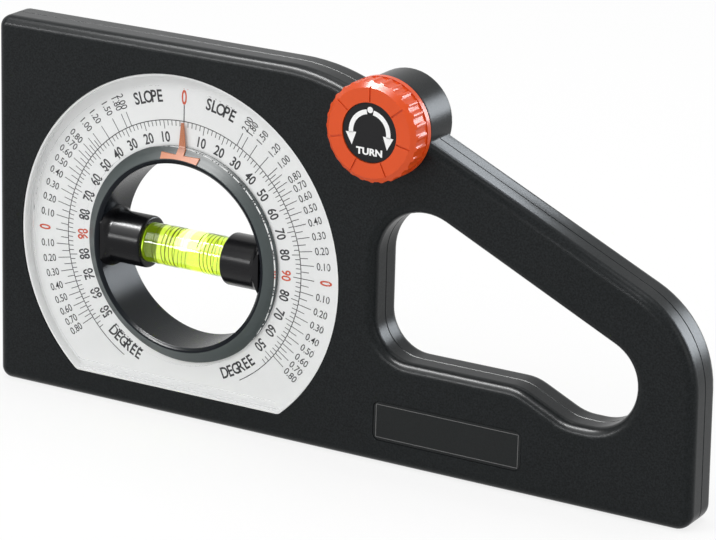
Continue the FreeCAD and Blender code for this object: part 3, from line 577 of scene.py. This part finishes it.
def printed_words(bm, red):
    """Red zero at the top with its line, and the plain words that name the two scales."""
    radial_letters(red, "0", 0.0, TOP_ZERO)
    tick(bm, 0.0, SCALE_LINE, ZERO_TICK_END, ZERO_TICK_WIDTH)
    for side in (-1, 1):
        arched_word(bm, "SLOPE", side * SLOPE_WORD_ANGLE, SLOPE_WORD)
        arched_word(bm, "DEGREE", side * DEGREE_WORD_ANGLE, DEGREE_WORD, inward=True)


def printed_scale():
    """Both scales of the dial, in black and in red ink."""
    black = bmesh.new()
    red = bmesh.new()
    degree_scale(black, red)
    slope_scale(black, red)
    printed_words(black, red)
    piece(black, "scale_print", "case", INK_BLACK)
    piece(red, "scale_zero_print", "case", INK_RED)


# Print on the knob's disc

DOT_ABOVE = 5.5 * MM
DOT_RADIUS = 0.75 * MM
ARROW_RADIUS = 5.0 * MM
ARROW_WIDTH = 1.15 * MM
ARROW_START = 10.0
ARROW_END = 97.0
HEAD_ANGLE = 95.0
HEAD_LENGTH = 3.1 * MM
HEAD_WIDTH = 2.8 * MM
WORD_BELOW = 4.6 * MM
WORD_HEIGHT = 1.75 * MM


def arrow_head(bm, side):
    """A flat triangle at the end of an arrow, pointing clockwise or back."""
    place = turned(DISC_CENTRE, side * HEAD_ANGLE)
    tip = place @ Vector((side * HEAD_LENGTH, INK / 2, ARROW_RADIUS))
    feet = [place @ Vector((0.0, INK / 2, ARROW_RADIUS + way * HEAD_WIDTH / 2)) for way in (-1, 1)]
    corners = [bm.verts.new(point) for point in (tip, *feet)]
    face = bm.faces.new(corners)
    raised = bmesh.ops.extrude_face_region(bm, geom=[face])
    bmesh.ops.translate(bm, vec=(0.0, -INK, 0.0), verts=vertices_of(raised["geom"]))


def knob_marks():
    """White dot, two arrows round the disc, and a plain word below."""
    bm = bmesh.new()
    dot = turned(DISC_CENTRE, 0.0) @ above(DOT_ABOVE) @ rotation(90.0, "X")
    bmesh.ops.create_cone(bm, cap_ends=True, segments=24, radius1=DOT_RADIUS, radius2=DOT_RADIUS,
                          depth=INK, matrix=dot)
    for side in (-1, 1):
        arc_band(bm, DISC_CENTRE, ARROW_RADIUS, ARROW_WIDTH, side * ARROW_START, side * ARROW_END)
        arrow_head(bm, side)
    low = turned(DISC_CENTRE, 0.0) @ above(-WORD_BELOW)
    letters(bm, "TURN", low, WORD_HEIGHT, stretch=1.15, weight=0.04)
    piece(bm, "knob_print", "knob", DISC_WHITE)


# Label

LINE_INSET = 0.7 * MM
LINE_WIDTH = 0.16 * MM


def label_line():
    """Fine line round the bare label plate."""
    bm = bmesh.new()
    middle = (label_low + label_high) / 2
    centre = Vector((middle.x, label_low.y - INK / 2, middle.z))
    half_width = (label_high.x - label_low.x) / 2 - LINE_INSET
    half_height = (label_high.z - label_low.z) / 2 - LINE_INSET
    for side in (-1, 1):
        upright = Matrix.Translation(centre + Vector((side * half_width, 0.0, 0.0)))
        bar(bm, upright, LINE_WIDTH, 2 * half_height)
        level = Matrix.Translation(centre + Vector((0.0, 0.0, side * half_height)))
        bar(bm, level, 2 * half_width, LINE_WIDTH)
    piece(bm, "label_outline", "case", LABEL_LINE)


# Vial: the lines, the end wall and the holder's outline are in millimetres from its middle and axis

TUBE_HALF = (tube_high.x - tube_low.x) / 2
TUBE_RADIUS = (tube_high.z - tube_low.z) / 2
TUBE_END_WALL = 1.2
FLUID_RADIUS = (fluid_high.z - fluid_low.z) / 2
BUBBLE_HALF = (bubble_high.x - bubble_low.x) / 2

LINE_PITCH = 1.1
LINE_GROUPS = (-6.0, 5.2)
LINES_IN_GROUP = 4
LONE_LINE = -8.6
VIAL_LINE_WIDTH = 0.2 * MM
VIAL_LINE_THICKNESS = 0.04 * MM

# The fluid reaches a little into the tube's wall, and the bubble and the painted shade at its ends beyond
# the fluid
FLUID_OUTSIDE = 0.06 * MM
FLUID_ROUND = 0.8 * MM
BUBBLE_OUTSIDE = 0.2 * MM
BUBBLE_ROUND = 0.3 * MM
BUBBLE_EDGE_OUTSIDE = 0.3 * MM
BUBBLE_EDGE_RADIUS = 0.2 * MM
BUBBLE_EDGE_REACH = 62.0

# A holder's bore, its rounded mouth, the straight socket, and the foot that spreads on the drum
HOLDER_OUTLINE = (
    (16.0, 0.0), (16.0, 5.05), (11.7, 5.05),
    (11.7, 5.95), (11.8, 6.25), (12.0, 6.45), (12.3, 6.55),
    (20.4, 6.55), (21.2, 6.8), (21.9, 7.3), (22.4, 7.9), (22.6, 8.1),
    (23.0, 8.1), (23.0, 0.0),
)
HOLDER_BEHIND_DRUM_END = 0.25 * MM


def spin_round_vial(bm, outline, steps):
    """Turn an outline of vertices and edges once round the vial's axis."""
    bmesh.ops.spin(bm, geom=outline, cent=VIAL, axis=(1, 0, 0), angle=math.tau, steps=steps,
                   use_merge=True)


def spun_body(points):
    """A body turned round the vial's axis from an outline of (distance, radius)."""
    bm = bmesh.new()
    corners = [bm.verts.new(VIAL + Vector((x * MM, 0.0, radius * MM))) for x, radius in points]
    edges = [bm.edges.new(pair) for pair in zip(corners, corners[1:])]
    spin_round_vial(bm, corners + edges, RING_STEPS)
    bmesh.ops.remove_doubles(bm, verts=bm.verts, dist=WELD)
    return bm


def vial_line(bm, distance):
    """One closed ring on the outside of the tube."""
    corners = []
    for along, out in ((-1, 0), (1, 0), (1, 1), (-1, 1)):
        x = distance * MM + along * VIAL_LINE_WIDTH / 2
        radius = TUBE_RADIUS + out * VIAL_LINE_THICKNESS
        corners.append(bm.verts.new(VIAL + Vector((x, 0.0, radius))))
    spin_round_vial(bm, corners + ring_of_edges(bm, corners), 64)


def vial_lines():
    """Dark lines round the vial on each side of the bubble, and one by the left holder."""
    bm = bmesh.new()
    vial_line(bm, LONE_LINE)
    for first in LINE_GROUPS:
        for place in range(LINES_IN_GROUP):
            vial_line(bm, first + place * LINE_PITCH)
    smooth(piece(bm, "vial_lines", "drum", LINE_GREEN_AND_SHADE))


def glass_tube():
    """Clear tube with a closed end inside each holder."""
    half = TUBE_HALF / MM
    outer = TUBE_RADIUS / MM
    inner = FLUID_RADIUS / MM
    room = half - TUBE_END_WALL
    bm = spun_body(((-half, 0.0), (-half, outer), (half, outer), (half, 0.0)))
    hollow = spun_body(((room, 0.0), (room, inner), (-room, inner), (-room, 0.0)))
    mesh = bpy.data.meshes.new("hollow")
    bmesh.ops.recalc_face_normals(hollow, faces=hollow.faces)
    bmesh.ops.reverse_faces(hollow, faces=hollow.faces)
    hollow.to_mesh(mesh)
    hollow.free()
    bmesh.ops.recalc_face_normals(bm, faces=bm.faces)
    bm.from_mesh(mesh)
    bpy.data.meshes.remove(mesh)
    item = piece(bm, "glass_tube", "drum", VIAL_CLEAR, turn_out=False)
    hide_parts("vial_tube")
    smooth(item)


def vial_holders():
    """Round sockets of the vial with a spreading foot on the drum wall."""
    front = drum_low.y + HOLDER_BEHIND_DRUM_END
    back = drum_high.y - HOLDER_BEHIND_DRUM_END
    for side, name in ((-1, "left_vial_holder"), (1, "right_vial_holder")):
        bm = spun_body([(side * x, radius) for x, radius in HOLDER_OUTLINE])
        for level, outward in ((front, -1), (back, 1)):
            rim = cut_away(bm, (0, level, 0), (0, outward, 0))
            bmesh.ops.holes_fill(bm, edges=rim, sides=0)
        item = piece(bm, name + "_round", "drum", HOLDER_BLACK)
        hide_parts(name)
        smooth(item)


def fluid_core():
    """Dyed fluid that fills the bore up to its wall, in one closed body."""
    bm = bmesh.new()
    radius = FLUID_RADIUS + FLUID_OUTSIDE
    length = fluid_high.x - fluid_low.x
    middle = Vector(((fluid_high.x + fluid_low.x) / 2, VIAL.y, VIAL.z))
    bmesh.ops.create_cone(bm, cap_ends=True, segments=RING_STEPS, radius1=radius, radius2=radius,
                          depth=length, matrix=turned(middle, 90.0))
    rims = [edge for edge in bm.edges if len(edge.link_faces) == 2
            and max(len(face.verts) for face in edge.link_faces) > 4]
    round_edges(bm, rims, FLUID_ROUND, 6)
    item = piece(bm, "fluid_core", "drum", FLUID_GREEN_AND_GLOW)
    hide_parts("vial_fluid")
    smooth(item)


def air_bubble():
    """Air at the top of the vial: a long rounded body with a flat, soft-edged underside."""
    bm = bmesh.new()
    middle = (bubble_high.x + bubble_low.x) / 2
    radius = FLUID_RADIUS + BUBBLE_OUTSIDE
    place = Matrix.Translation(Vector((middle, VIAL.y, VIAL.z)))
    size = Matrix.Diagonal((BUBBLE_HALF, radius, radius, 1.0))
    bmesh.ops.create_uvsphere(bm, u_segments=64, v_segments=40, radius=1.0, matrix=place @ size)
    rim = cut_away(bm, Vector((0.0, 0.0, bubble_low.z)), (0, 0, -1))
    bmesh.ops.holes_fill(bm, edges=rim, sides=0)
    round_edges(bm, rim, BUBBLE_ROUND, 4)
    item = piece(bm, "air_bubble", "drum", BUBBLE_PAINTED_GLOW)
    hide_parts("vial_bubble")
    smooth(item, 50.0)


def bubble_ends():
    """Painted shade: dark curved bands at both ends of the bubble, where the fluid climbs round it."""
    bm = bmesh.new()
    to_start = (Matrix.Translation(VIAL) @ rotation(-BUBBLE_EDGE_REACH, "X")
                @ Matrix.Translation(-VIAL))
    for side in (-1, 1):
        x = side * (BUBBLE_HALF - BUBBLE_EDGE_RADIUS)
        spot = VIAL + Vector((x, 0.0, FLUID_RADIUS + BUBBLE_EDGE_OUTSIDE))
        ring = bmesh.ops.create_circle(bm, segments=10, radius=BUBBLE_EDGE_RADIUS,
                                       matrix=Matrix.Translation(spot) @ rotation(90.0, "X"))
        bmesh.ops.transform(bm, matrix=to_start, verts=ring["verts"])
        edges = list({edge for vertex in ring["verts"] for edge in vertex.link_edges})
        spun = bmesh.ops.spin(bm, geom=ring["verts"] + edges, cent=VIAL, axis=(1, 0, 0),
                              angle=math.radians(2 * BUBBLE_EDGE_REACH), steps=24,
                              use_merge=False)
        for loop in (edges, edges_of(spun["geom_last"])):
            bmesh.ops.holes_fill(bm, edges=loop, sides=0)
    smooth(piece(bm, "bubble_ends", "drum", LINE_GREEN_AND_SHADE))


# Rear screws

SCREW_HEAD_RADIUS = 2.2 * MM
SCREW_HEAD_HEIGHT = 1.4 * MM
SCREW_HEAD_ROUND = 0.35 * MM
CROSS_WIDTH = 0.62 * MM
CROSS_LENGTH = 2.4 * MM
CROSS_DEPTH = 0.8 * MM
CROSS_SLANT = 0.1 * MM
FIRST_SCREW_TURN = 23.0
NEXT_SCREW_TURN = 37.0


def joined_vertices(start):
    """All vertices of the solid that a vertex belongs to."""
    found = {start}
    waiting = [start]
    while waiting:
        for edge in waiting.pop().link_edges:
            new = set(edge.verts) - found
            found |= new
            waiting.extend(new)
    return found


def screw_places():
    """Where each CAD screw stands, as (x, z), from left to right and from the top down."""
    bm = bmesh.new()
    bm.from_mesh(frame["nodes"]["case_screws"].data)
    bmesh.ops.remove_doubles(bm, verts=bm.verts, dist=WELD)
    left = set(bm.verts)
    places = []
    while left:
        screw = joined_vertices(next(iter(left)))
        left -= screw
        xs = [vertex.co.x for vertex in screw]
        zs = [vertex.co.z for vertex in screw]
        places.append(((min(xs) + max(xs)) / 2, (min(zs) + max(zs)) / 2))
    bm.free()
    return sorted(places, key=lambda place: (round(place[0], 4), -place[1]))


def grown_rim(bm, edges, share, drop):
    """Extrude a closed rim, scale it by a share and lower it, and give back the new rim."""
    grown = bmesh.ops.extrude_edge_only(bm, edges=edges)["geom"]
    points = vertices_of(grown)
    bmesh.ops.scale(bm, vec=(share, share, 1.0), verts=points)
    bmesh.ops.translate(bm, vec=(0.0, 0.0, -drop), verts=points)
    return edges_of(grown)


def in_cross(spot):
    across = min(abs(spot.x), abs(spot.y))
    along = max(abs(spot.x), abs(spot.y))
    return across < CROSS_WIDTH / 2 and along < CROSS_LENGTH / 2


def cross_head():
    """One screw head with a cross recess, its top at the origin and facing up."""
    top = SCREW_HEAD_RADIUS - SCREW_HEAD_ROUND
    bm = bmesh.new()
    bmesh.ops.create_circle(bm, cap_ends=True, segments=32, radius=top)
    for normal in (Vector((1, 0, 0)), Vector((0, 1, 0))):
        for reach in (-CROSS_LENGTH, -CROSS_WIDTH, CROSS_WIDTH, CROSS_LENGTH):
            bmesh.ops.bisect_plane(bm, geom=everything(bm), plane_co=normal * reach / 2,
                                   plane_no=normal)
    rim = [edge for edge in bm.edges if edge.is_boundary]
    cross = [face for face in bm.faces if in_cross(face.calc_center_median())]
    shoulder = grown_rim(bm, rim, SCREW_HEAD_RADIUS / top, SCREW_HEAD_ROUND)
    foot = grown_rim(bm, shoulder, 1.0, SCREW_HEAD_HEIGHT - SCREW_HEAD_ROUND)
    bmesh.ops.holes_fill(bm, edges=foot, sides=0)
    bmesh.ops.inset_region(bm, faces=cross, thickness=CROSS_SLANT, use_even_offset=True)
    points = list({vertex for face in cross for vertex in face.verts})
    bmesh.ops.translate(bm, vec=(0.0, 0.0, -CROSS_DEPTH), verts=points)
    mesh = bpy.data.meshes.new("head")
    bm.to_mesh(mesh)
    bm.free()
    return mesh


def screw_heads():
    """Cross-recessed heads in the rear counterbores, in the places of the CAD heads."""
    bm = bmesh.new()
    for number, (x, z) in enumerate(screw_places()):
        head = cross_head()
        spun = rotation(FIRST_SCREW_TURN + NEXT_SCREW_TURN * number, "Z")
        place = Matrix.Translation((x, screw_tops, z))
        head.transform(place @ rotation(-90.0, "X") @ spun)
        bm.from_mesh(head)
        bpy.data.meshes.remove(head)
    item = piece(bm, "screw_heads", "case", STEEL)
    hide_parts("case_screws")
    smooth(item, 30.0)


# Dial cover

COVER_THICKNESS = 0.7 * MM
COVER_HOLE = 28.0 * MM


def from_dial(spot):
    """Distance of a point from the dial's axis."""
    return math.hypot(spot.x - DIAL.x, spot.z - DIAL.z)


def thin_cover():
    """The clear cover as the thin moulding that it is, with air under it."""
    bm = bmesh.new()
    bm.from_mesh(frame["nodes"]["dial_cover"].data)
    bmesh.ops.remove_doubles(bm, verts=bm.verts, dist=WELD)
    rim = cut_away(bm, Vector((0.0, cover_low.y + COVER_THICKNESS, 0.0)), (0, 1, 0))
    filled = bmesh.ops.triangle_fill(bm, use_beauty=True, edges=rim)["geom"]
    over_hole = [part for part in filled if isinstance(part, bmesh.types.BMFace)
                 and all(from_dial(vertex.co) < COVER_HOLE for vertex in part.verts)]
    bmesh.ops.delete(bm, geom=over_hole, context="FACES")
    item = piece(bm, "thin_cover", "case", COVER_CLEAR)
    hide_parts("dial_cover")


# Finishes of the CAD nodes

FINISHES = {
    "front_case": CASE_BLACK,
    "rear_case": CASE_BLACK,
    "dial_plate": SCALE_WHITE,
    "dial_cover": COVER_CLEAR,
    "label_plate": LABEL_BLACK,
    "case_screws": STEEL,
    "friction_washer": FELT,
    "idler_pin": STEEL,
    "drum": DRUM_BLACK,
    "front_bezel": BEZEL_GREY,
    "rear_bezel": BEZEL_GREY,
    "ring_gear": GEAR_WHITE,
    "pointer": POINTER_ORANGE,
    "left_vial_holder": HOLDER_BLACK,
    "right_vial_holder": HOLDER_BLACK,
    "vial_tube": VIAL_CLEAR,
    "vial_plug": VIAL_CLEAR,
    "vial_fluid": FLUID_GREEN_AND_GLOW,
    "vial_bubble": BUBBLE_PAINTED_GLOW,
    "idler_gear": GEAR_WHITE,
    "knob": KNOB_ORANGE,
    "knob_disc": DISC_BLACK,
    "knob_shaft": STEEL,
    "knob_screw": STEEL,
    "knob_pinion": GEAR_WHITE,
}

# Nodes with roundings, and the slot of each smooth copy
ROUNDED_NODES = {
    "front_case": "case_plastic",
    "rear_case": "case_plastic",
    "drum": "drum_black",
    "front_bezel": "bezel_grey",
    "knob": "knob_orange",
}


def kind_of(face):
    """Front or back, wall, or the rounding between them."""
    turn = abs(face.normal.y)
    if turn > 0.9999:
        return "flat"
    return "wall" if turn < 0.001 else "rounding"


def rounds_on(edge):
    """False where a flat face or a wall meets its rounding, so that each shades evenly."""
    return len({kind_of(face) for face in edge.link_faces}) < 2


def smooth_copy(name):
    """A copy of a node with its triangles joined, so that its roundings shade smoothly."""
    source = frame["nodes"][name]
    mesh = source.data.copy()
    bm = bmesh.new()
    bm.from_mesh(mesh)
    bmesh.ops.remove_doubles(bm, verts=bm.verts, dist=WELD)
    bm.normal_update()
    creases = [edge for edge in bm.edges if not rounds_on(edge)]
    bm.to_mesh(mesh)
    sharp = [edge.index for edge in creases]
    bm.free()
    item = bpy.data.objects.new(name + "_smooth", mesh)
    bpy.context.scene.collection.objects.link(item)
    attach(item, source["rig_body"])
    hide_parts(name)
    smooth(item, 28.0)
    for index in sharp:
        mesh.edges[index].use_edge_sharp = True


def dress_nodes():
    """Give each CAD node its finish, then put smooth copies in place of the rounded ones."""
    for name, material in FINISHES.items():
        slots = frame["nodes"][name].data.materials
        slots.clear()
        slots.append(material)
    for name, slot in ROUNDED_NODES.items():
        smooth_copy(name)


# Camera, with angles in degrees, as worked out from the photograph

CAMERA_AZIMUTH = 29.62
CAMERA_ELEVATION = 17.81
CAMERA_ROLL = 1.51
CAMERA_AIM = Vector((7.6, -6.2, 47.75)) * MM
CAMERA_DISTANCE = 859.3 * MM
CAMERA_LENS = 181.76
SENSOR_WIDTH = 36.0


def photo_camera():
    """Camera at the photograph's viewing angle and distance."""
    azimuth = math.radians(CAMERA_AZIMUTH)
    elevation = math.radians(CAMERA_ELEVATION)
    roll = math.radians(CAMERA_ROLL)
    back = Vector((
        math.sin(azimuth) * math.cos(elevation),
        -math.cos(azimuth) * math.cos(elevation),
        math.sin(elevation),
    ))
    right = Vector((math.cos(azimuth), math.sin(azimuth), 0.0))
    up = back.cross(right)
    rolled_right = right * math.cos(roll) + up * math.sin(roll)
    rolled_up = up * math.cos(roll) - right * math.sin(roll)
    turn = Matrix((rolled_right, rolled_up, back)).transposed().to_4x4()
    data = bpy.data.cameras.new("camera")
    data.sensor_width = SENSOR_WIDTH
    data.sensor_fit = "HORIZONTAL"
    data.lens = CAMERA_LENS
    camera = bpy.data.objects.new("camera", data)
    camera.matrix_world = Matrix.Translation(CAMERA_AIM + back * CAMERA_DISTANCE) @ turn
    bpy.context.scene.collection.objects.link(camera)
    bpy.context.scene.camera = camera


# Lamps: all face the middle of the object, and their powers are in watts

MIDDLE = Vector((0.0, 0.0, 0.045))
WITHOUT_GLOSS_PANELS = ("thin_cover", "dial_plate", "scale_print", "scale_zero_print", "fluid_core",
                        "air_bubble", "bubble_ends", "vial_lines")


def lamp(name, place, width, height, power, colour=WHITE):
    """A soft rectangular lamp. It isn't seen itself, except as gloss."""
    data = bpy.data.lights.new(name, "AREA")
    data.shape = "RECTANGLE"
    data.size = width
    data.size_y = height
    data.energy = power
    data.color = colour
    item = bpy.data.objects.new(name, data)
    item.location = place
    item.rotation_euler = (MIDDLE - Vector(place)).to_track_quat("-Z", "Y").to_euler()
    item.visible_camera = False
    item.visible_transmission = False
    bpy.context.scene.collection.objects.link(item)
    return item


def gloss_panel(name, receivers, direction, distance, width, height, brightness, colour=WHITE):
    """A panel that shows only in the gloss of its receivers, at a brightness where 1 is white."""
    place = MIDDLE + Vector(direction).normalized() * distance
    power = brightness * math.pi * width * height
    item = lamp(name, place, width, height, power, colour)
    item.visible_diffuse = False
    item.light_linking.receiver_collection = receivers


def gloss_receivers():
    """The pieces that the gloss panels shine on: all but the dial behind its cover, and the fluid."""
    receivers = bpy.data.collections.new("gloss_receivers")
    for item in bpy.context.scene.objects:
        if item.type == "MESH" and item.name not in WITHOUT_GLOSS_PANELS:
            receivers.objects.link(item)
    return receivers


def lamps():
    """Three soft lamps, and three panels for the gloss on edges, faces and the far sides."""
    lamp("key_lamp", (-0.55, -0.75, 0.85), width=0.7, height=0.7, power=6.0)
    lamp("top_lamp", (0.1, 0.25, 1.1), width=0.9, height=0.6, power=4.5)
    lamp("side_lamp", (1.0, -0.1, 0.5), width=0.5, height=0.8, power=2.2)
    receivers = gloss_receivers()
    gloss_panel("edge_panel", receivers, (-0.25, -0.38, 0.85), distance=1.1, width=0.8,
                height=0.10, brightness=150.0)
    gloss_panel("front_panel", receivers, (-0.47, -0.85, 0.22), distance=1.2, width=0.9,
                height=0.15, brightness=26.0)
    gloss_panel("rear_panel", receivers, (0.52, 0.83, 0.22), distance=1.2, width=0.5,
                height=0.45, brightness=14.0, colour=(0.88, 0.94, 1.0))


# Background

LIGHT_LEVEL = 0.62
SEEN_LEVEL = 1.0
FLOOR_GLOW = 0.8


def seen_directly(tree):
    """One for rays that show the background: from the camera, in gloss and through glass.

    A ray that has left a dull surface lights it, and sees the plain level of the light.
    """
    path = tree.nodes.new("ShaderNodeLightPath")
    plain = math_node(tree, "MAXIMUM", path.outputs["Is Camera Ray"], path.outputs["Is Glossy Ray"])
    shown = math_node(tree, "MAXIMUM", plain, path.outputs["Is Transmission Ray"])
    unlit = math_node(tree, "LESS_THAN", path.outputs["Diffuse Depth"], 0.5)
    return math_node(tree, "MULTIPLY", shown, unlit)


def white_world():
    """White where it is seen, and a plainer level where it lights the object."""
    world = bpy.data.worlds.new("studio")
    world.use_nodes = True
    tree = world.node_tree
    shade = tree.nodes["Background"]
    shade.inputs["Color"].default_value = (*WHITE, 1.0)
    strength = tree.nodes.new("ShaderNodeMapRange")
    strength.inputs["To Min"].default_value = LIGHT_LEVEL
    strength.inputs["To Max"].default_value = SEEN_LEVEL
    tree.links.new(seen_directly(tree), strength.inputs["Value"])
    tree.links.new(strength.outputs["Result"], shade.inputs["Strength"])
    bpy.context.scene.world = world


def floor_material():
    """Pale floor that stays white where it is seen and keeps a soft shadow."""
    material, tree, shader = blank_material("floor_white")
    shader.inputs["Base Color"].default_value = (0.86, 0.86, 0.86, 1.0)
    shader.inputs["Roughness"].default_value = 0.9
    shine = tree.nodes.new("ShaderNodeEmission")
    shine.inputs["Strength"].default_value = SEEN_LEVEL
    share = math_node(tree, "MULTIPLY", seen_directly(tree), FLOOR_GLOW)
    mixed_surface(tree, share, shader.outputs["BSDF"], shine.outputs["Emission"])
    return material


def floor():
    """A wide plain sheet under the object."""
    bm = bmesh.new()
    bmesh.ops.create_grid(bm, x_segments=1, y_segments=1, size=6.0)
    mesh = bpy.data.meshes.new("floor")
    bm.to_mesh(mesh)
    bm.free()
    mesh.materials.append(floor_material())
    item = bpy.data.objects.new("floor", mesh)
    bpy.context.scene.collection.objects.link(item)


def studio():
    """Camera, lamps and background. The pieces are there before it, because it lists them."""
    bpy.context.scene.view_settings.view_transform = "Standard"
    photo_camera()
    lamps()
    white_world()
    floor()


dress_nodes()
printed_scale()
knob_marks()
label_line()
vial_lines()
thin_cover()
vial_holders()
glass_tube()
fluid_core()
air_bubble()
bubble_ends()
screw_heads()
studio()
